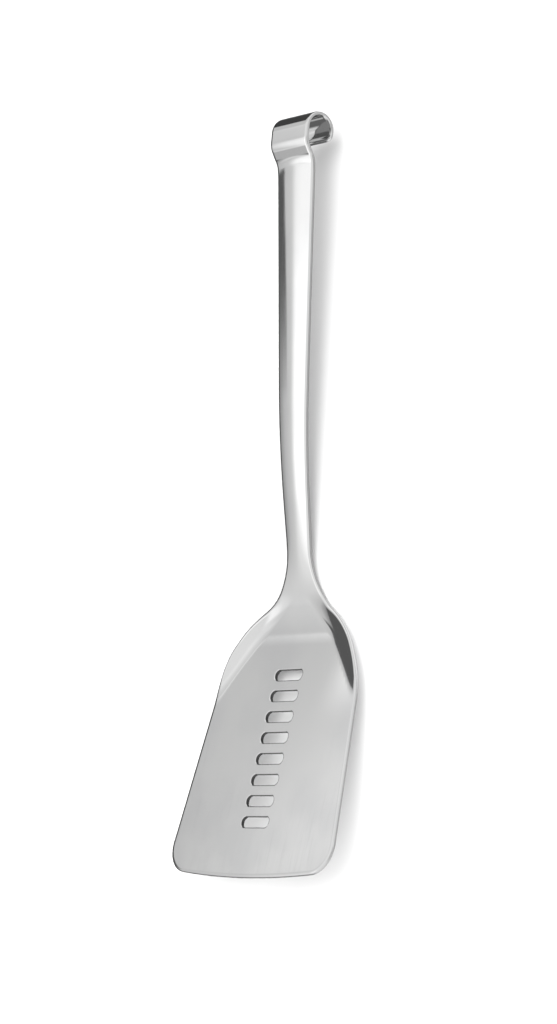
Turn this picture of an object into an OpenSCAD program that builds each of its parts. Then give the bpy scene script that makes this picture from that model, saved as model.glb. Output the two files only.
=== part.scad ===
// Slotted serving spatula, cut and pressed from one steel sheet. The handle's end is rolled back
// into an open hanging loop. It lies as it comes to rest, balanced on the heel of the blade.

/* [Sheet] */
// Thickness of the steel sheet
sheet = 2; // [1.5:0.1:2.5]

/* [Blade] */
// Width of the blade at its tip, before the corners are rounded
tip_width = 117.8; // [105:0.1:125]
// Width of the blade where the shoulders start
shoulder_width = 100.7; // [92:0.1:104]
// Distance from the tip edge to the start of the shoulders
shoulder_start = 84; // [78:1:90]
// Radius of the rounded tip corners
corner_radius = 13; // [6:0.5:20]
// Radius of the bowed tip edge
tip_bow_radius = 480; // [300:10:900]
// Radius of the rounded shoulders, seen from above
shoulder_radius = 56.5; // [50:0.5:60]

/* [Shoulder walls] */
// Height by which the shoulder edges rise above the blade
wall_lift = 2.75; // [1:0.05:4]
// Length of the stretch over which the walls rise to that height
wall_rise_length = 31; // [24:1:36]
// Length of the stretch over which the walls run out at the neck
wall_fall_length = 20; // [14:1:24]

/* [Slots] */
// Number of slots in the row
slot_count = 8; // [4:1:8]
// Length of one slot, across the blade
slot_length = 19.4; // [12:0.1:26]
// Width of one slot
slot_width = 5.2; // [4.4:0.1:6.4]
// Distance between the middles of neighbouring slots
slot_pitch = 10; // [8:0.1:10.4]
// Distance from the tip edge to the middle of the nearest slot
slot_start = 26; // [18:1:30]

/* [Heel and neck] */
// Distance from the tip edge to the bend at the heel
heel_start = 112; // [106:1:116]
// Inside radius of the bend at the heel
heel_radius = 60; // [45:1:75]
// Angle by which the neck rises from the blade
neck_rise = 21; // [17:0.5:25]
// Length of the straight neck after the heel bend
neck_length = 45; // [38:1:55]
// Width of the narrowest part of the neck
neck_width = 16.9; // [13:0.1:20]
// Radius of the hollow curve from the shoulders to the neck, seen from above
neck_radius = 33.5; // [30:0.5:40]

/* [Handle] */
// Length of the gently arched stretch above the neck
arch_length = 52; // [40:1:70]
// Angle by which that stretch turns back down
arch_angle = 5.4; // [3:0.1:8]
// Length of the straight stretch below the loop
grip_length = 104; // [90:1:125]
// Height of the crown across the widest part of the handle
crown_height = 0.9; // [0.4:0.05:1.6]
// Length over which the crown runs out below the loop
crown_end_length = 14; // [10:1:20]

/* [Hanging loop] */
// Width of the strip that forms the loop
loop_width = 26.2; // [22:0.1:30]
// Diameter inside the rolled part of the loop
loop_bore = 13.6; // [11:0.1:16]
// Angle through which that part is rolled
loop_turn = 217; // [200:1:225]
// Radius of the small bend where the handle meets the loop, on its front
kick_radius = 5; // [3:0.5:8]
// Angle of that bend
kick_angle = 27.5; // [20:0.5:32]
// Length of the straight stretch after that bend
kick_length = 4.5; // [2:0.5:8]
// Radius of the front of the loop, outside
front_radius = 15; // [12:0.5:18]
// Angle of the front of the loop
front_angle = 33; // [26:1:36]

/* [Hidden] */
$fn = 96;

side_slope = (tip_width - shoulder_width) / 2 / shoulder_start;
side_angle = atan(side_slope);

loop_outer = loop_bore / 2 + sheet;

// The side profile is a chain of stretches, each a length along the top face and a turn
function arc(radius, angle) = radius * angle * PI / 180;
bends = [
    [heel_start, 0], [arc(heel_radius, neck_rise), neck_rise], [neck_length, 0],
    [arch_length, -arch_angle], [grip_length, 0],
    [arc(kick_radius, kick_angle), kick_angle], [kick_length, 0],
    [arc(front_radius, front_angle), -front_angle],
    [arc(loop_outer, loop_turn), -loop_turn]];
function total(n) = n == 0 ? 0 : bends[n - 1][0] + total(n - 1);
grip_end = total(5);
kick_end = total(6);
front_start = total(7);
front_end = total(8);
free_end = total(9);

// A place on the profile is [y, z, heading]
function turn(p, len, angle) =
    angle == 0 ? [p[0] + len * cos(p[2]), p[1] + len * sin(p[2]), p[2]]
    : let (r = len / (angle * PI / 180), h = p[2] + angle)
        [p[0] + r * (sin(h) - sin(p[2])), p[1] - r * (cos(h) - cos(p[2])), h];

function profile(s, i = 0, p = [0, 0, 0]) =
    s <= bends[i][0] || i == len(bends) - 1
    ? turn(p, s, bends[i][1] * s / bends[i][0])
    : profile(s - bends[i][0], i + 1, turn(p, bends[i][0], bends[i][1]));

function smooth(a, b, x) = let (t = min(1, max(0, (x - a) / (b - a)))) t * t * (3 - 2 * t);

// Round tip corner: its middle, and the angle at which it leaves the bowed edge
corner_reach = corner_radius * sqrt(1 + side_slope ^ 2);
corner_y = let (k = side_slope, x0 = tip_width / 2 - corner_reach, r = tip_bow_radius,
        a = 1 + k ^ 2, b = -2 * (x0 * k + r), c = x0 ^ 2 + r ^ 2 - (r - corner_radius) ^ 2)
    (-b - sqrt(b ^ 2 - 4 * a * c)) / (2 * a);
corner_x = tip_width / 2 - corner_reach - side_slope * corner_y;
corner_from = atan2(corner_y - tip_bow_radius, corner_x);

// Outline of the flat sheet: bowed edge, round corner, straight side, shoulder arc, neck arc,
// tapered handle and the strip for the loop
shoulder_x = shoulder_width / 2 - shoulder_radius * cos(side_angle);
shoulder_s = shoulder_start - shoulder_radius * sin(side_angle);
neck_x = neck_width / 2 + neck_radius;
meet_angle = acos((neck_x - shoulder_x) / (shoulder_radius + neck_radius));
neck_s = shoulder_s + (shoulder_radius + neck_radius) * sin(meet_angle);
meet_s = shoulder_s + shoulder_radius * sin(meet_angle);

function half_width(s) =
    s <= tip_bow_radius * (1 + sin(corner_from)) ? sqrt(s * (2 * tip_bow_radius - s))
    : s <= corner_y + corner_radius * sin(side_angle) ? corner_x + sqrt(corner_radius ^ 2 - (s - corner_y) ^ 2)
    : s <= shoulder_start ? tip_width / 2 - side_slope * s
    : s <= meet_s ? shoulder_x + sqrt(shoulder_radius ^ 2 - (s - shoulder_s) ^ 2)
    : s <= neck_s ? neck_x - sqrt(neck_radius ^ 2 - (neck_s - s) ^ 2)
    : s <= grip_end ? neck_width / 2 + (loop_width - neck_width) / 2 * (s - neck_s) / (grip_end - neck_s)
    : loop_width / 2;

// Height of the top face above the profile at x: walls at the shoulders, a crown on the handle
wall_end = meet_s + wall_fall_length / 2;
function wall(s) = wall_lift * smooth(shoulder_start, shoulder_start + wall_rise_length, s)
    * (1 - smooth(wall_end - wall_fall_length, wall_end, s));
function crease(s) = shoulder_width / 2 * max(0, wall_end - s) / (wall_end - shoulder_start);
function crown(s) = crown_height * half_width(s) * 2 / loop_width
    * smooth(neck_s, neck_s + neck_width, s) * (1 - smooth(grip_end - crown_end_length, grip_end, s));

function height(x, s) = let (w = half_width(s), c = min(crease(s), w - sheet))
    wall(s) * (max(0, abs(x) - c) / (w - c)) ^ 2 - crown(s) * (x / w) ^ 2;
function slope(x, s) = let (d = sheet / 20) (height(x + d, s) - height(x - d, s)) / (2 * d);

// Middle of the loop's round part, found by following the profile
front = profile(front_end);
loop_y = front[0] + loop_outer * sin(front[2]);
loop_z = front[1] - loop_outer * cos(front[2]);

// The mass centre, from strips across the sheet, the slots cut out of it and the round part
strips = 300;
strip = front_end / strips;
mean_radius = loop_outer - sheet / 2;
mean_reach = mean_radius * sin(loop_turn / 2) / (loop_turn / 2 * PI / 180);
mean_angle = 90 + front[2] - loop_turn / 2;
masses = concat(
    [for (i = [1:strips]) let (s = (i - 0.5) * strip, p = profile(s), m = 2 * strip * half_width(s))
        m * [1, p[0] + sheet / 2 * sin(p[2]), p[1] - sheet / 2 * cos(p[2])]],
    [for (i = [0:slot_count - 1]) ((1 - PI / 4) * slot_width - slot_length) * slot_width
        * [1, slot_start + i * slot_pitch, -sheet / 2]],
    [arc(mean_radius, loop_turn) * loop_width
        * [1, loop_y + mean_reach * cos(mean_angle), loop_z + mean_reach * sin(mean_angle)]]);
mass = [for (m = masses) 1] * masses;

// Lying, the spatula rolls on its heel until it balances there, or until the loop comes down.
// The facet it rests on spans a few degrees of the heel, level under the mass centre.
rest_half = 3;
reach = [loop_y - heel_start, loop_z - heel_radius];
heel_under = heel_radius + sheet;
loop_down = atan2(reach[1], reach[0]) + asin((heel_under - loop_outer) / norm(reach));
balanced = atan2(mass[1] / mass[0] - heel_start, heel_radius - mass[2] / mass[0]);
tilt = max(0, min(balanced, loop_down));
lie_z = heel_under * cos(rest_half) - (heel_radius * cos(tilt) - heel_start * sin(tilt));
lie_y = (sheet * sin(tilt) - (loop_y * cos(tilt) + loop_z * sin(tilt) + loop_outer)) / 2;

// Rows along the sheet, closer at the shoulders, the ends of the crown and the small bends
blade_end = shoulder_start - sheet;
shoulder_step = 1.25 * sheet;
handle_step = 4 * sheet;
bend_step = 7.5;
front_last = front_end - sheet / 2;
function spread(a, b, step) = let (n = ceil((b - a) / step)) [for (i = [0:n - 1]) a + (b - a) * i / n];
rest_from = heel_start + arc(heel_radius, tilt - rest_half);
rest_to = heel_start + arc(heel_radius, tilt + rest_half);
rows = concat(
    spread(blade_end, rest_from, shoulder_step), [rest_from],
    spread(rest_to, neck_s, shoulder_step),
    spread(neck_s, neck_s + neck_width, shoulder_step),
    spread(neck_s + neck_width, grip_end - crown_end_length, handle_step),
    spread(grip_end - crown_end_length, grip_end, shoulder_step),
    spread(grip_end, kick_end, arc(kick_radius, bend_step)), [kick_end],
    spread(front_start, front_last, arc(front_radius, bend_step)), [front_last],
    spread(front_end, free_end, arc(loop_outer, bend_step)), [free_end]);

// Columns across it. At the tip they end on the bowed edge and on the round corners beside it
bow_columns = 6;
corner_columns = 7;
columns = bow_columns + 2 * corner_columns;
right_corner = [for (i = [0:corner_columns])
    let (a = corner_from + i / corner_columns * (side_angle - corner_from))
    corner_radius * [cos(a), sin(a)] + [corner_x, corner_y]];
left_corner = [for (i = [corner_columns:-1:0]) [-right_corner[i][0], right_corner[i][1]]];
bow = [for (i = [1:bow_columns - 1]) let (a = -90 + (2 * i / bow_columns - 1) * (90 + corner_from))
    tip_bow_radius * [cos(a), sin(a)] + [0, tip_bow_radius]];
tip_edge = concat(left_corner, bow, right_corner);
function x_at(s, j) = half_width(s) * (2 * j / columns - 1);

// The rolled end has a thin lining, which the bore cuts away to leave a true round inside
lining = sheet / 8;
function depth(s) = s < front_end ? sheet : sheet + lining;

function top_point(s, x) = let (p = profile(s), h = height(x, s))
    [x, p[0] - h * sin(p[2]), p[1] + h * cos(p[2])];
function bottom_point(s, x) =
    let (p = profile(s), b = atan(slope(x, s)), h = height(x, s) - depth(s) * cos(b))
    [x + depth(s) * sin(b), p[0] - h * sin(p[2]), p[1] + h * cos(p[2])];

// The whole sheet as one skin, from the tip's edge to the free end of the loop
module formed_sheet() {
    last = len(rows);
    across = columns + 1;
    under = (last + 1) * across;
    function quad(a, b, c, d, flip = false) = flip ? [[a, b, d], [b, c, d]] : [[a, b, c], [a, c, d]];
    points = concat(
        [for (p = tip_edge) [p[0], p[1], 0]],
        [for (s = rows) for (j = [0:columns]) top_point(s, x_at(s, j))],
        [for (p = tip_edge) [p[0], p[1], -sheet]],
        [for (s = rows) for (j = [0:columns]) bottom_point(s, x_at(s, j))]);
    faces = concat(
        [for (k = [0:last - 1]) for (j = [0:columns - 1]) let (a = k * across + j)
            each quad(a, a + across, a + across + 1, a + 1, j >= columns / 2)],
        [for (k = [0:last - 1]) for (j = [0:columns - 1]) let (a = under + k * across + j)
            each quad(a + 1, a + across + 1, a + across, a, j < columns / 2)],
        [for (k = [0:last - 1]) let (a = k * across)
            each quad(a, under + a, under + a + across, a + across)],
        [for (k = [0:last - 1]) let (a = k * across + columns)
            each quad(a, a + across, under + a + across, under + a)],
        [for (j = [0:columns - 1]) each quad(j, j + 1, under + j + 1, under + j)],
        [for (j = [0:columns - 1]) let (a = last * across + j)
            each quad(a, under + a, under + a + 1, a + 1)]);
    polyhedron(points, faces);
}

module slot() {
    half = (slot_length - slot_width) / 2;
    for (side = [-1, 1]) translate([side * half, 0]) circle(d = slot_width);
    square([2 * half, slot_width], center = true);
}

module spatula() {
    color("silver")
        translate([0, lie_y, lie_z]) rotate([-tilt, 0, 0])
            difference() {
                formed_sheet();
                for (i = [0:slot_count - 1])
                    translate([0, slot_start + i * slot_pitch, -2 * sheet]) linear_extrude(3 * sheet) slot();
                translate([0, loop_y, loop_z]) rotate([0, 90, 0])
                    cylinder(d = loop_bore, h = loop_width + 2 * sheet, center = true);
            }
}

spatula();
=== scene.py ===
import bpy
import numpy as np
from mathutils import Matrix, Vector


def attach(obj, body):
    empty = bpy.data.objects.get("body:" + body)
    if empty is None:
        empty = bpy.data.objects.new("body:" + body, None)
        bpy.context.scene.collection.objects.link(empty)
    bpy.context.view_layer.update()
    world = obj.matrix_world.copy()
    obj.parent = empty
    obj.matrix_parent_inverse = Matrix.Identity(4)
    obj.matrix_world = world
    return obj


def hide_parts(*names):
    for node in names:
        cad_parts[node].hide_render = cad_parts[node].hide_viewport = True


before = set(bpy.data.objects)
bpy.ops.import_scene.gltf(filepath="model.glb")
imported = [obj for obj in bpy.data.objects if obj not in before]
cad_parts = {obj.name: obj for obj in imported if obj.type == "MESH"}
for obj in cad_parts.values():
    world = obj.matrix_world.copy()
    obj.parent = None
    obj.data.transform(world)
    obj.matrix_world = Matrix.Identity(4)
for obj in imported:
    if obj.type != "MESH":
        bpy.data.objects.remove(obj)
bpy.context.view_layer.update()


class Wire:                                            # one socket; sums and products of wires add Math nodes
    def __init__(self, tree, socket=None):
        self.tree, self.socket = tree, socket

    # any node: its settings are set first, then the values or links of its sockets
    def node(self, kind, settings=None, sockets=None, out=0):
        made = self.tree.nodes.new(kind)
        for name, value in (settings or {}).items():
            setattr(made, name, value)
        for name, value in (sockets or {}).items():
            if isinstance(value, Wire):
                self.tree.links.new(value.socket, made.inputs[name])
            else:
                made.inputs[name].default_value = value
        return Wire(self.tree, made.outputs[out])

    def math(self, operation, *values):
        return self.node("ShaderNodeMath", {"operation": operation}, dict(enumerate(values)))

    def __add__(self, other):
        return self.math("ADD", self, other)

    def __sub__(self, other):
        return self.math("SUBTRACT", self, other)

    def __rsub__(self, other):
        return self.math("SUBTRACT", other, self)

    def __mul__(self, other):
        return self.math("MULTIPLY", self, other)

    __radd__, __rmul__ = __add__, __mul__

    # first below low, last above high, and smooth between
    def step(self, low, high, first=0.0, last=1.0):
        return self.node("ShaderNodeMapRange", {"interpolation_type": "SMOOTHSTEP"},
                         {"Value": self, "From Min": low, "From Max": high, "To Min": first, "To Max": last})

    # two colours mixed by this wire: sockets 6 and 7 are the colours, and 2 is the colour that comes out
    def mix(self, first, second):
        return self.node("ShaderNodeMix", {"data_type": "RGBA"}, {0: self, 6: first, 7: second}, 2)


# sizes of the sheet in mm and degrees: s runs along it from the middle of the tip edge, x across it
sheetForm = {
    "sheet": 2.0, "tipWidth": 117.8, "shoulderWidth": 100.7, "shoulderStart": 84.0,
    "cornerRadius": 13.0, "tipBowRadius": 480.0, "shoulderRadius": 56.5,
    "wallLift": 2.75, "wallEase": 2.0, "wallRise": 26.0, "wallFall": 20.0,
    "creaseStart": 45.5, "creaseBow": 1.25,
    "slotCount": 8, "slotLength": 19.4, "slotWidth": 5.2, "slotPitch": 10.0,
    "heelStart": 110.06, "easeRadius": 90.0, "easeAngle": 4.5, "heelRadius": 58.53,
    "neckRise": 21.0, "neckLength": 45.0, "neckWidth": 16.9, "neckRadius": 33.5,
    "archLength": 52.0, "archAngle": 5.4, "gripLength": 102.78,
    "crownHeight": 0.9, "crownStart": 134.0, "crownFull": 162.0, "crownEnd": 338.3, "crownFade": 9.0,
    "bladeCrown": 0.5,
    "loopWidth": 26.2, "loopBore": 12.6, "loopTurn": 217.0, "freeCorner": 2.4,
    "kickRadius": 10.0, "kickAngle": 27.5, "kickLength": 3.28,
    "frontRadius": 9.0, "frontAngle": 33.0, "frontLength": 4.7,
    "tilt": 12.378, "placeY": -176.853, "placeZ": 27.403,      # how it lies, balanced on its heel
    "edgeRoll": 1.8, "edgeDrop": 0.6, "slotRoll": 0.55, "slotDrop": 0.3, "rimMargin": 0.15, "edgeSteps": 9,
}
form = sheetForm
# how the mesh is divided: each slot has a cell of the grid to itself, and each stretch past them a row count
gridForm = {
    "cellWidth": 25.0, "cellStart": 21.0, "cellRows": 16, "innerColumns": 24, "outerColumns": 22,
    "cornerSteps": 7, "lowSteps": 3, "endSteps": 3, "slotArc": 24, "slotRun": 16, "ringCount": 5,
    "handleStart": 165.0, "rowCounts": (65, 80, 13, 5, 13, 5, 52), "endMargin": 0.5, "stripShare": 0.45,
}


def arc(radius, angle):                                # length of an arc: radius times the angle, in degrees
    return radius * np.radians(angle)


# the side view is a chain of straight and round stretches: each has a length and the angle it turns
loopOuter = form["loopBore"] / 2 + form["sheet"]
bends = np.array([
    (form["heelStart"], 0),
    (arc(form["easeRadius"], form["easeAngle"]), form["easeAngle"]),
    (arc(form["heelRadius"], form["neckRise"] - form["easeAngle"]), form["neckRise"] - form["easeAngle"]),
    (form["neckLength"], 0),
    (form["archLength"], -form["archAngle"]),
    (form["gripLength"], 0),
    (arc(form["kickRadius"], form["kickAngle"]), form["kickAngle"]),
    (form["kickLength"], 0),
    (arc(form["frontRadius"], form["frontAngle"]), -form["frontAngle"]),
    (form["frontLength"], 0),
    (arc(loopOuter, form["loopTurn"]), -form["loopTurn"])])
starts = np.concatenate([[0], np.cumsum(bends[:, 0])])
gripEnd, kickEnd, frontStart, frontEnd, loopStart, freeEnd = starts[6:]


# y, z and heading at s: each stretch adds a straight run, or its radius times the change of sine and cosine
def profile(s):
    y, z, heading = np.zeros_like(s), np.zeros_like(s), np.zeros_like(s)
    for start, (length, angle) in zip(starts, bends):
        run = np.maximum(s - start, 0) if start == loopStart else np.clip(s - start, 0, length)
        turned = heading + np.radians(angle) * run / length
        if angle:
            radius = length / np.radians(angle)
            y = y + radius * (np.sin(turned) - np.sin(heading))
            z = z - radius * (np.cos(turned) - np.cos(heading))
        else:
            y, z = y + run * np.cos(heading), z + run * np.sin(heading)
        heading = turned
    return y, z, heading


def smooth(low, high, value):                          # 3t^2 - 2t^3 of the share t between low and high
    t = np.clip((value - low) / (high - low), 0, 1)
    return t * t * (3 - 2 * t)


sideSlope = (form["tipWidth"] - form["shoulderWidth"]) / 2 / form["shoulderStart"]
sideAngle = np.arctan(sideSlope)
shoulderX = form["shoulderWidth"] / 2 - form["shoulderRadius"] * np.cos(sideAngle)
shoulderS = form["shoulderStart"] - form["shoulderRadius"] * np.sin(sideAngle)
neckX = form["neckWidth"] / 2 + form["neckRadius"]
reach = form["shoulderRadius"] + form["neckRadius"]
meetAngle = np.arccos((neckX - shoulderX) / reach)     # where the shoulder's arc meets the neck's
neckS = shoulderS + reach * np.sin(meetAngle)
meetS = shoulderS + form["shoulderRadius"] * np.sin(meetAngle)
wallEnd = meetS + form["wallFall"] / 2
cellEnd = gridForm["cellStart"] + form["slotPitch"] * form["slotCount"]


# half the outline's width: a straight flare, the shoulder's arc, the neck's hollow arc, then a slow taper
def halfWidth(s):
    flare = form["tipWidth"] / 2 - sideSlope * s
    shoulder = shoulderX + np.sqrt(np.maximum(form["shoulderRadius"] ** 2 - (s - shoulderS) ** 2, 0))
    neck = neckX - np.sqrt(np.maximum(form["neckRadius"] ** 2 - (neckS - s) ** 2, 0))
    share = (s - neckS) / (gripEnd - neckS)
    grip = form["neckWidth"] / 2 + (form["loopWidth"] - form["neckWidth"]) / 2 * share
    return np.select([s <= form["shoulderStart"], s <= meetS, s <= neckS, s <= gripEnd],
                     [flare, shoulder, neck, grip], form["loopWidth"] / 2)


# height of the top face over the side view's line: a wall that rises as the square of the way out from its
# crease, less a crown that falls as the square of x
def height(x, s):
    w = halfWidth(s)
    start = form["shoulderStart"]
    rise = smooth(start - form["wallEase"], start + form["wallRise"], s)
    wall = form["wallLift"] * rise * (1 - smooth(wallEnd - form["wallFall"], wallEnd, s))
    crease = form["creaseStart"] * (1 - np.clip((s - start) / (wallEnd - start), 0, 1) ** form["creaseBow"])
    crease = np.minimum(crease, w - form["sheet"])
    crown = form["crownHeight"] * w * 2 / form["loopWidth"] * smooth(form["crownStart"], form["crownFull"], s)
    crown = crown * (1 - np.clip((s - form["crownEnd"]) / form["crownFade"] + 1, 0, 1) ** 2)
    crown = crown + form["bladeCrown"] * (1 - smooth(0, form["heelStart"], s))
    return wall * (np.maximum(0, np.abs(x) - crease) / (w - crease)) ** 2 - crown * (x / w) ** 2


# the top face: the side view's line, raised along its own upright by the height
def topFace(x, s):
    y, z, heading = profile(s)
    up = height(x, s)
    return np.stack([x, y - up * np.sin(heading), z + up * np.cos(heading)], -1)


# points sunk by depth below the top face, and their normals: the face's own, leaned over towards (dx, ds)
def sheetPoints(x, s, depth, lean, dx, ds, nudge=0.02):
    across = topFace(x + nudge, s) - topFace(x - nudge, s)
    along = topFace(x, s + nudge) - topFace(x, s - nudge)
    upright = np.cross(across, along)
    upright = upright / np.linalg.norm(upright, axis=-1, keepdims=True)
    outward = across * dx[:, None] + along * ds[:, None]
    outward = outward / np.maximum(np.linalg.norm(outward, axis=-1, keepdims=True), 1e-9)
    return (topFace(x, s) - depth[:, None] * upright,
            np.cos(lean)[:, None] * upright + np.sin(lean)[:, None] * outward)


# the outline for x from 0 up, in pieces of x, s and the way out (dx, ds), from the tip round to the free end
def outlinePieces():
    inner, outer, steps = gridForm["innerColumns"] // 2, gridForm["outerColumns"], gridForm["cornerSteps"]
    bowRadius, corner = form["tipBowRadius"], form["cornerRadius"]

    def sweep(centre, radius, turn):                   # points of an arc, and its own spokes as the way out
        return np.stack([centre[0] + radius * np.cos(turn), centre[1] + radius * np.sin(turn),
                         np.cos(turn), np.sin(turn)])

    def side(s, nudge=0.01):                           # the way out is along x, by the secant of the slope
        slope = (halfWidth(s + nudge) - halfWidth(s - nudge)) / (2 * nudge)
        return np.stack([halfWidth(s), s, np.sqrt(1 + slope * slope), np.zeros_like(s)])

    # the corner's centre lies one radius inside the side line and inside the bow: a root along that line
    foot = np.array([form["tipWidth"] / 2 - corner / np.cos(sideAngle), -bowRadius])
    way = np.array([-np.sin(sideAngle), np.cos(sideAngle)])
    travel = -foot @ way - np.sqrt((foot @ way) ** 2 - foot @ foot + (bowRadius - corner) ** 2)
    centre = foot + travel * way
    bowAngle = np.arctan2(centre[1], centre[0])
    centre = centre + [0, bowRadius]
    middle = (bowAngle + sideAngle) / 2
    bowX = np.linspace(gridForm["cellWidth"] / 2, -bowRadius * np.cos(bowAngle + np.pi), outer - steps + 1)
    bowX = np.concatenate([np.linspace(0, gridForm["cellWidth"] / 2, inner + 1)[:-1], bowX[:-1]])
    # the bow with the first half of the corner, then its second half with the side, up to the slots' cells
    tip = np.concatenate([sweep((0, bowRadius), bowRadius, -np.arccos(bowX / bowRadius)),
                          sweep(centre, corner, np.linspace(bowAngle, middle, steps + 1))], axis=1)
    lowCorner = sweep(centre, corner, np.linspace(middle, sideAngle, steps + 1))
    lowRows = np.linspace(lowCorner[1, -1], gridForm["cellStart"], gridForm["lowSteps"] + 1)
    low = np.concatenate([lowCorner, side(lowRows[1:])], axis=1)
    # the side from the first cell to where the free end's corner begins, a row count for each stretch
    rows = [np.linspace(gridForm["cellStart"], cellEnd, form["slotCount"] * gridForm["cellRows"] + 1)]
    stops = [cellEnd, gridForm["handleStart"], gripEnd, kickEnd, frontStart, frontEnd, loopStart,
             freeEnd - form["freeCorner"] - gridForm["endMargin"]]
    for start, stop, count in zip(stops, stops[1:], gridForm["rowCounts"]):
        rows.append(np.linspace(start, stop, count)[1:])
    long = side(np.concatenate(rows))
    # the free end's corner, in two halves, and its straight edge
    w, r = form["loopWidth"] / 2, form["freeCorner"]
    turn = np.linspace(0, np.pi / 4, gridForm["endSteps"] + 1)
    high = np.concatenate([long[:, -1:], sweep((w - r, freeEnd - r), r, turn)], axis=1)
    flatX = np.linspace(w - r, 0, inner + outer - gridForm["endSteps"] + 1)[1:]
    end = np.concatenate([sweep((w - r, freeEnd - r), r, turn + np.pi / 4),
                          np.stack([flatX, np.full_like(flatX, freeEnd), 0 * flatX, 0 * flatX + 1])], axis=1)
    return tip, low, long, high, end


def mirrored(line):                                    # the same line on the other side of x = 0
    return line * np.array([-1, 1, -1, 1])[:, None]


# a patch between four lines: the blends of the two pairs of opposite lines, less the blend of the corners
def patch(bottom, top, left, right):
    u, v = np.linspace(0, 1, bottom.shape[1]), np.linspace(0, 1, left.shape[1])[:, None]
    blend = lambda first, last: (1 - u) * first + u * last
    between = (1 - v) * bottom[:, None, :] + v * top[:, None, :]
    beside = blend(left[:, :, None], right[:, :, None])
    corners = ((1 - v) * blend(bottom[:, 0, None, None], bottom[:, -1, None, None])
               + v * blend(top[:, 0, None, None], top[:, -1, None, None]))
    return between + beside - corners


# section of a polished edge, a quarter ellipse on each face: how far in from the outline, how deep, and how
# far the normal leans over
def edgeSection(roll, drop):
    turn = np.linspace(0, np.pi / 2, form["edgeSteps"] + 1)
    inset, depth = roll - roll * np.sin(turn), drop - drop * np.cos(turn)
    lean = np.arctan2(np.sin(turn) / roll, np.cos(turn) / drop)
    far = [roll + form["rimMargin"]]
    return (np.concatenate([far, inset, inset[::-1], far])[:, None],
            np.concatenate([[0], depth, form["sheet"] - depth[::-1], [form["sheet"]]])[:, None],
            np.concatenate([[0], lean, np.pi - lean[::-1], [np.pi]])[:, None])


# corner numbers of the quads of a grid whose nodes are numbered row by row; a closed grid also joins its last
# column to its first
def quads(rows, columns, first, closed=False):
    row, column = np.meshgrid(np.arange(rows - 1), np.arange(columns - (not closed)), indexing="ij")
    after = (column + 1) % columns
    return first + np.stack([row * columns + column, row * columns + after,
                             (row + 1) * columns + after, (row + 1) * columns + column], -1)


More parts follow.
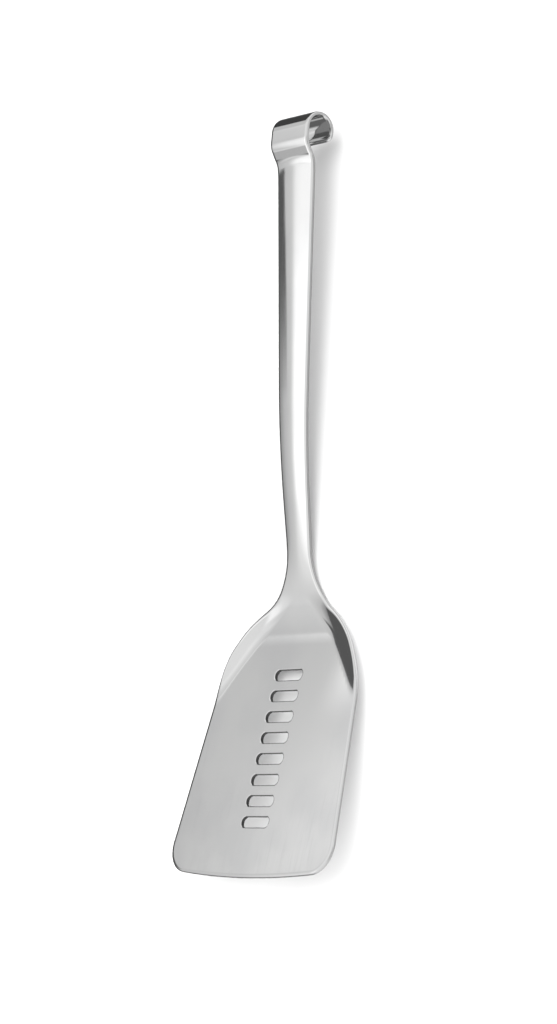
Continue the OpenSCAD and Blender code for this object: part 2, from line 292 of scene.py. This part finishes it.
# the whole sheet from nodes of x, s, depth, lean, dx, ds: top and bottom face with the slots left out, the
# rings round each slot, and the rounded edges of the slots and of the outline
def buildSheet():
    nodes, faces, count = [], [], 0

    def add(block, keep=None, closed=False):           # block holds x, s, depth, lean, dx, ds over a grid
        nonlocal count
        block = np.stack(np.broadcast_arrays(*block))
        made = quads(*block.shape[1:], count, closed)
        faces.append(made[keep] if keep is not None else made.reshape(-1, 4))
        nodes.append(block.reshape(6, -1))
        count += nodes[-1].shape[1]

    tip, low, long, high, end = outlinePieces()
    inset = form["edgeRoll"] + form["rimMargin"]
    inward = lambda line, by: line[:2] - by * line[2:]
    both = lambda line, by: np.concatenate([inward(mirrored(line), by)[:, :0:-1], inward(line, by)], axis=1)

    # rows of the face from tip to free end, with even columns inside a strip as wide as a slot's cell, and
    # even columns outside it
    inner = np.linspace(-1, 1, gridForm["innerColumns"] + 1)
    outer = np.linspace(0, 1, gridForm["outerColumns"] + 1)[1:]
    edge = inward(long, inset)
    strip = np.minimum(gridForm["cellWidth"] / 2, gridForm["stripShare"] * long[0])[:, None]
    wing = strip + (edge[0][:, None] - strip) * outer
    rowX = np.concatenate([-wing[:, ::-1], strip * inner, wing], axis=1)
    rows = np.stack([rowX, np.broadcast_to(long[1][:, None], rowX.shape)])
    lowPatch = patch(both(tip, inset), rows[:, 0], inward(mirrored(low), inset), inward(low, inset))
    highPatch = patch(rows[:, -1], both(end[:, ::-1], inset),
                      inward(mirrored(high), inset), inward(high, inset))
    face = np.concatenate([lowPatch[:, :-1], rows, highPatch[:, 1:]], axis=1)

    # the slots' cells are left out of the grid, and filled by rings between the cell's border and the slot
    cellRows, cellColumns = gridForm["cellRows"], gridForm["innerColumns"]
    firstRow, firstColumn = lowPatch.shape[1] - 1, gridForm["outerColumns"]
    keep = np.ones((face.shape[1] - 1, face.shape[2] - 1), bool)
    keep[firstRow:firstRow + cellRows * form["slotCount"], firstColumn:firstColumn + cellColumns] = False
    for depth, lean in (0, 0), (form["sheet"], np.pi):
        add((face[0], face[1], depth, lean, 0, 0), keep)

    # outline of a slot: two half rounds and two straight runs, even in each, from its right end round
    knots = np.cumsum([0, gridForm["slotArc"] // 2, gridForm["slotRun"], gridForm["slotArc"],
                       gridForm["slotRun"], gridForm["slotArc"] // 2])
    number, half = np.arange(knots[-1]), (form["slotLength"] - form["slotWidth"]) / 2
    turn = np.radians(np.interp(number, knots, [0, 90, 90, 270, 270, 360]))
    slotX = np.interp(number, knots, [half, half, -half, -half, half, half])
    slotX = slotX + form["slotWidth"] / 2 * np.cos(turn)
    ring = np.concatenate([np.arange(cellRows // 2, cellRows), np.full(cellColumns, cellRows),
                           np.arange(cellRows, 0, -1), np.zeros(cellColumns, int), np.arange(cellRows // 2)])
    across = np.concatenate([np.full(cellRows // 2, cellColumns), np.arange(cellColumns, 0, -1),
                             np.zeros(cellRows, int), np.arange(cellColumns),
                             np.full(cellRows // 2, cellColumns)])
    share = np.linspace(0, 1, gridForm["ringCount"] + 1)[:, None]
    slotInset = form["slotRoll"] + form["rimMargin"]
    for slot in range(form["slotCount"]):
        slotS = gridForm["cellStart"] + form["slotPitch"] * (slot + 0.5)
        slotS = slotS + form["slotWidth"] / 2 * np.sin(turn)
        line = np.stack([slotX, slotS, -np.cos(turn), -np.sin(turn)])
        border = face[:, firstRow + slot * cellRows + ring, firstColumn + across]
        rings = (1 - share) * inward(line, slotInset)[:, None] + share * border[:, None]
        for depth, lean in (0, 0), (form["sheet"], np.pi):
            add((rings[0], rings[1], depth, lean, 0, 0), closed=True)
        section = edgeSection(form["slotRoll"], form["slotDrop"])
        add((line[0] - section[0] * line[2], line[1] - section[0] * line[3],
             section[1], section[2], line[2], line[3]), closed=True)

    # the outline as one closed line, and its edge
    line = np.concatenate([tip, low[:, 1:], long[:, 1:], high[:, 1:], end[:, 1:]], axis=1)
    line = np.concatenate([line, mirrored(line)[:, -2:0:-1]], axis=1)
    section = edgeSection(form["edgeRoll"], form["edgeDrop"])
    add((line[0] - section[0] * line[2], line[1] - section[0] * line[3],
         section[1], section[2], line[2], line[3]), closed=True)

    # nodes that fall together, to five places, become one, and each face turns to the side its normals are on
    nodes, faces = np.concatenate(nodes, axis=1), np.concatenate(faces)
    _, kept, same = np.unique(np.round(nodes[:3].T, 5), axis=0, return_index=True, return_inverse=True)
    nodes, faces = nodes[:, kept], same.ravel()[faces]
    points, normals = sheetPoints(*nodes)
    turned = np.cross(points[faces[:, 2]] - points[faces[:, 0]], points[faces[:, 3]] - points[faces[:, 1]])
    away = (turned * normals[faces].sum(axis=1)).sum(axis=-1) < 0
    faces[away] = faces[away][:, ::-1]

    # the sheet is tilted about x and set down on its heel
    tilt = np.radians(form["tilt"])
    turn = np.array([[1, 0, 0], [0, np.cos(tilt), np.sin(tilt)], [0, -np.sin(tilt), np.cos(tilt)]])
    points = (points @ turn.T + [0, form["placeY"], form["placeZ"]]) / 1000
    return points, normals @ turn.T, faces, nodes


points, normals, faces, nodes = buildSheet()
mesh = bpy.data.meshes.new("spatulaSheet")
mesh.from_pydata(points.tolist(), [], faces.tolist())
mesh.polygons.foreach_set("use_smooth", np.ones(len(faces), bool))
flat = mesh.uv_layers.new(name="flatSheet")            # the sheet laid out flat, in metres
flat.data.foreach_set("uv", (nodes[:2].T[faces.ravel()] / 1000).ravel())
cut = mesh.attributes.new("cutEdge", "FLOAT", "POINT")  # 1 on the cut edge, 0 on the faces
cut.data.foreach_set("value", np.sin(nodes[3]))
inCells = np.abs(nodes[0]) < gridForm["cellWidth"] / 2
inCells = inCells & (nodes[1] > gridForm["cellStart"]) & (nodes[1] < cellEnd)
wall = mesh.attributes.new("slotWallShade", "FLOAT", "POINT")  # 1 on the walls of the slots, where the painted shade goes
wall.data.foreach_set("value", np.sin(nodes[3]) * inCells)
mesh.update()
mesh.normals_split_custom_set_from_vertices(normals.tolist())
spatula = bpy.data.objects.new("spatula_sheet", mesh)
bpy.context.collection.objects.link(spatula)
print("sheet made,", len(faces), "faces, from", points.min(axis=0), "to", points.max(axis=0))

# stainless steel, polished along its length: fine grain, a few hairlines, faint waves, duller cut edges, and
# painted shade on the slots' walls, which are coloured near black
steelForm = {
    "colour": (0.67, 0.67, 0.668, 1), "wornColour": (0.635, 0.636, 0.638, 1),
    # the slots' walls are painted near black: painted shade standing in for their dark, shaded insides
    "slotShadeColour": (0.08, 0.08, 0.08, 1),
    "roughness": 0.06, "edgeRoughness": 0.12, "edgeFade": (0.5, 1.0), "slotFade": (0.55, 0.95),
    "grainScale": 2600.0, "grainStretch": 0.02, "grainDepth": 1e-7, "grainRoughness": (0.3, 0.7, 0.0, 0.02),
    "hairScale": 1400.0, "hairStretch": 0.02, "hairRoughness": 0.03,
    "hairlines": ((0.12, 0.74, 0.8), (-0.5, 0.76, 0.82)),    # each set's turn, and where its noise fades in
    "waveScale": 34.0, "waveStretch": 0.5, "waveDepth": 3e-6,
    "wornScale": 24.0, "wornDetail": 3.0, "wornFade": (0.35, 0.7), "wornRoughness": 0.02,
}
steel = bpy.data.materials.new("brushed_steel")
steel.use_nodes = True
shader = steel.node_tree.nodes["Principled BSDF"]
metal = Wire(steel.node_tree)
flatPlace = metal.node("ShaderNodeUVMap", {"uv_map": "flatSheet"})


# noise over the flat sheet, in places per metre; a stretch below 1 draws it out along the sheet
def sheetNoise(scale, stretch=1.0, detail=2.0, turn=0.0):
    place = metal.node("ShaderNodeMapping", None,
                       {"Vector": flatPlace, "Rotation": (0, 0, turn), "Scale": (1, stretch, 1)})
    return metal.node("ShaderNodeTexNoise", {"noise_dimensions": "2D"},
                      {"Vector": place, "Scale": scale, "Detail": detail})


def sheetAttribute(name):                              # a number from the mesh's points, from output 2
    return metal.node("ShaderNodeAttribute", {"attribute_name": name}, None, 2)


grain = sheetNoise(steelForm["grainScale"], steelForm["grainStretch"])
hair = 0
for turn, low, high in steelForm["hairlines"]:
    hair = hair + sheetNoise(steelForm["hairScale"], steelForm["hairStretch"], 0.0, turn).step(low, high)
worn = sheetNoise(steelForm["wornScale"], 1.0, steelForm["wornDetail"]).step(*steelForm["wornFade"])
wave = sheetNoise(steelForm["waveScale"], steelForm["waveStretch"], 0.0)
cutEdge = sheetAttribute("cutEdge").step(*steelForm["edgeFade"])
slotWallShade = sheetAttribute("slotWallShade").step(*steelForm["slotFade"])
# the slots' walls take the near-black painted shade in place of the steel's colour
colour = slotWallShade.mix(worn.mix(steelForm["colour"], steelForm["wornColour"]), steelForm["slotShadeColour"])
roughness = steelForm["roughness"] + grain.step(*steelForm["grainRoughness"])
roughness = roughness + worn * steelForm["wornRoughness"] + hair * steelForm["hairRoughness"]
roughness = roughness + cutEdge * steelForm["edgeRoughness"]
relief = grain * steelForm["grainDepth"] + wave * steelForm["waveDepth"]
bump = metal.node("ShaderNodeBump", None, {"Height": relief, "Strength": 1.0, "Distance": 1.0})
for name, wire in {"Base Color": colour, "Roughness": roughness, "Normal": bump}.items():
    steel.node_tree.links.new(wire.socket, shader.inputs[name])
shader.inputs["Metallic"].default_value = 1.0
mesh.materials.append(steel)
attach(spatula, "root")
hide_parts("spatula")
print("steel made,", len(steel.node_tree.nodes), "nodes")

# a plain pale floor, which the steel doesn't mirror
floorForm = {"reach": 12.0, "colour": (0.68, 0.68, 0.68, 1), "roughness": 0.9}
floorMesh = bpy.data.meshes.new("floor")
floorCorners = [(-1, -1, 0), (1, -1, 0), (1, 1, 0), (-1, 1, 0)]
floorMesh.from_pydata((np.array(floorCorners) * floorForm["reach"]).tolist(), [], [(0, 1, 2, 3)])
floor = bpy.data.objects.new("floor", floorMesh)
bpy.context.collection.objects.link(floor)
pale = bpy.data.materials.new("pale_floor")
pale.use_nodes = True
pale.node_tree.nodes["Principled BSDF"].inputs["Base Color"].default_value = floorForm["colour"]
pale.node_tree.nodes["Principled BSDF"].inputs["Roughness"].default_value = floorForm["roughness"]
floorMesh.materials.append(pale)
floor.visible_glossy = False

# the room that the steel mirrors, 1 for white, by elevation and by bearing from -x towards +y, in degrees; in
# brackets: where a change starts and ends, and the values there
studioForm = {
    # a dark card low on the -x side: its top edge falls towards +y, and it is greyer near that edge
    "cardTop": (7, 13, 34.8, 29.8), "cardDrop": (24, 36, 0.0, 10.0), "cardEdge": 0.8,
    "cardShade": (25, 36, 0.13, 0.067), "cardFoot": (-38, -17, 0.3, 0.0),
    "greyFoot": (24.6, 26.4), "greySide": (6.2, 9.4, 1.0, 0.0), "greyShade": (26, 34, 0.3, 0.62),
    "kickSide": (-26, -16, 1.0, 0.0), "kickShade": (30.4, 33, 0.03, 0.25),
    # light above the card: a ramp with a glow for the handle, one for the handle's end, one for the blade
    "handleLow": (33, 41, 0.76, 0.88), "handleHigh": (45, 60, 0.0, 0.17),
    "glowLow": (38, 43, 0.0, 0.2), "glowHigh": (43, 50, 0.0, 0.25), "glowLimit": (54, 60, 1.0, 0.0),
    "glowFrom": (-26, -14), "glowTo": (-1, 3, 1.0, 0.3),
    "endRamp": (35, 48, 0.8, 1.08), "endLimit": (54, 62, 1.0, 0.0),
    "endFrom": (7, 9), "endTo": (12.8, 15, 1.0, 0.0),
    "bladeLean": 0.3, "bladeRamp": (24.9, 30.4, 0.76, 1.1), "bladeLimit": (36.8, 39, 1.0, 0.0),
    "bladeSlope": 0.75, "bladeSide": (-6.35, -5.35),
    # the rest of the room is pale, with a dark place where the camera stands
    "roomLow": (-60, -5, 0.45, 1.15), "roomHigh": (0, 30, 0.0, -0.15),
    "darkWay": (0.76, -0.14, 0.63), "darkEdge": (0.86, 0.95, 1.0, 0.2),
    "frontMiddle": 5, "frontSide": (50, 75, 1.0, 0.0),
}
world = bpy.data.worlds.new("studio")
bpy.context.scene.world = world
world.use_nodes = True
sky = Wire(world.node_tree)
direction = sky.node("ShaderNodeTexCoord")
parts = sky.node("ShaderNodeSeparateXYZ", None, {0: direction}).socket.node.outputs
east, north, up = [Wire(sky.tree, part) for part in parts]
degrees = 57.3                                         # in a radian
el = up.math("ARCSINE", up) * degrees
az = north.math("ARCTAN2", north, 0 - east) * degrees


def band(wire, name):                                  # a smooth step with the limits and values of that name
    return wire.step(*studioForm[name])


grey = band(el, "greyFoot") * band(az, "greySide") * band(el, "greyShade")
kick = band(az, "kickSide") * band(el, "kickShade")
card = band(az, "cardShade") + grey + kick + band(el, "cardFoot")
glow = band(el, "glowLow") + band(el, "glowHigh")
glow = glow * band(el, "glowLimit") * band(az, "glowFrom") * band(az, "glowTo")
handleLit = band(el, "handleLow") + band(el, "handleHigh") + glow
endSide = band(az, "endFrom") * band(az, "endTo") * band(el, "endLimit")
lit = handleLit + (band(el, "endRamp") - handleLit) * endSide
bladeLit = band(el - az * studioForm["bladeLean"], "bladeRamp")
bladeSide = band(az - el * studioForm["bladeSlope"], "bladeSide") * band(el, "bladeLimit")
lit = lit + (bladeLit - lit) * bladeSide
cardTop = band(az, "cardTop") - band(az, "cardDrop")
front = card + (lit - card) * el.step(cardTop - studioForm["cardEdge"], cardTop + studioForm["cardEdge"])
towards = sky.node("ShaderNodeVectorMath", {"operation": "DOT_PRODUCT"},
                   {0: direction, 1: studioForm["darkWay"]}, 1)
room = (band(el, "roomLow") + band(el, "roomHigh")) * band(towards, "darkEdge")
turned = az - studioForm["frontMiddle"]
room = room + (front - room) * band(turned.math("ABSOLUTE", turned), "frontSide")
seen = sky.node("ShaderNodeLightPath")                 # 1 on the picture's own backdrop, which is plain white
room = room + (1 - room) * seen
sky.tree.links.new(room.socket, sky.tree.nodes["Background"].inputs["Color"])

# soft lamps: a large one lights the floor, a low one the floor under the blade, and one close over the handle
# is seen in the steel only; its soft edges are steps over the shares of its size along x and y
lampForm = {
    "over": {"place": (1.6, 1.4, 1.95), "aim": (0, 0, 0), "size": (3.3, 3.3), "energy": 184.0},
    "under": {"place": (-0.02, -0.34, 0.045), "aim": (-0.02, 0, 0.045), "size": (0.12, 0.05), "energy": 0.95},
    "beside": {"place": (-0.08, 0.0725, 0.12), "size": (0.1, 0.235), "energy": 0.0431,
               "edges": (((0.0, 0.25), (0.75, 1.0, 1.0, 0.0)),
                         ((0.0, 0.19), (0.6, 0.87, 1.0, 0.55), (0.94, 1.0, 1.0, 0.0)))},
}
for name, values in lampForm.items():
    lampData = bpy.data.lights.new(name, "AREA")
    lampData.shape, (lampData.size, lampData.size_y) = "RECTANGLE", values["size"]
    lampData.energy = values["energy"]
    lamp = bpy.data.objects.new(name, lampData)
    lamp.location = values["place"]
    if "aim" in values:                                # the one without it faces straight down
        away = Vector(values["place"]) - Vector(values["aim"])
        lamp.rotation_euler = away.to_track_quat("Z", "Y").to_euler()
    lamp.visible_camera = False
    lamp.visible_glossy, lamp.visible_diffuse = "edges" in values, "edges" not in values
    bpy.context.collection.objects.link(lamp)
    if "edges" in values:
        lampData.use_nodes = True
        lampWire = Wire(lampData.node_tree)
        surface = lampWire.node("ShaderNodeNewGeometry", None, None, 5)    # Parametric: shares of the size
        shares = lampWire.node("ShaderNodeSeparateXYZ", None, {0: surface}).socket.node.outputs
        strength = 1
        for share, edges in zip(shares, values["edges"]):
            for edge in edges:
                strength = strength * Wire(lampWire.tree, share).step(*edge)
        lampWire.tree.links.new(strength.socket, lampWire.tree.nodes["Emission"].inputs["Strength"])
print("floor, room and", len(lampForm), "lamps made")

# the camera looks from the +x side, as the photograph does, with the handle up in the picture
cameraForm = {"place": (1.1992566, -0.2146516, 0.99776564), "target": (-0.00993503, -0.00735088, 0.01),
              "roll": -80.6598, "lens": 119.53, "sensor": 36.0, "near": 0.05, "far": 50.0}
cameraData = bpy.data.cameras.new("camera")
cameraData.lens, cameraData.sensor_width = cameraForm["lens"], cameraForm["sensor"]
cameraData.clip_start, cameraData.clip_end = cameraForm["near"], cameraForm["far"]
camera = bpy.data.objects.new("camera", cameraData)
bpy.context.collection.objects.link(camera)
look = Vector(cameraForm["target"]) - Vector(cameraForm["place"])
camera.rotation_mode = "QUATERNION"
camera.rotation_quaternion = look.to_track_quat("-Z", "Y") @ Matrix.Rotation(
    np.radians(cameraForm["roll"]), 3, "Z").to_quaternion()
camera.location = cameraForm["place"]
bpy.context.scene.camera = camera
bpy.context.scene.view_settings.view_transform = "Standard"
bpy.context.view_layer.update()
print("camera placed", round(look.length, 3), "m from the middle")
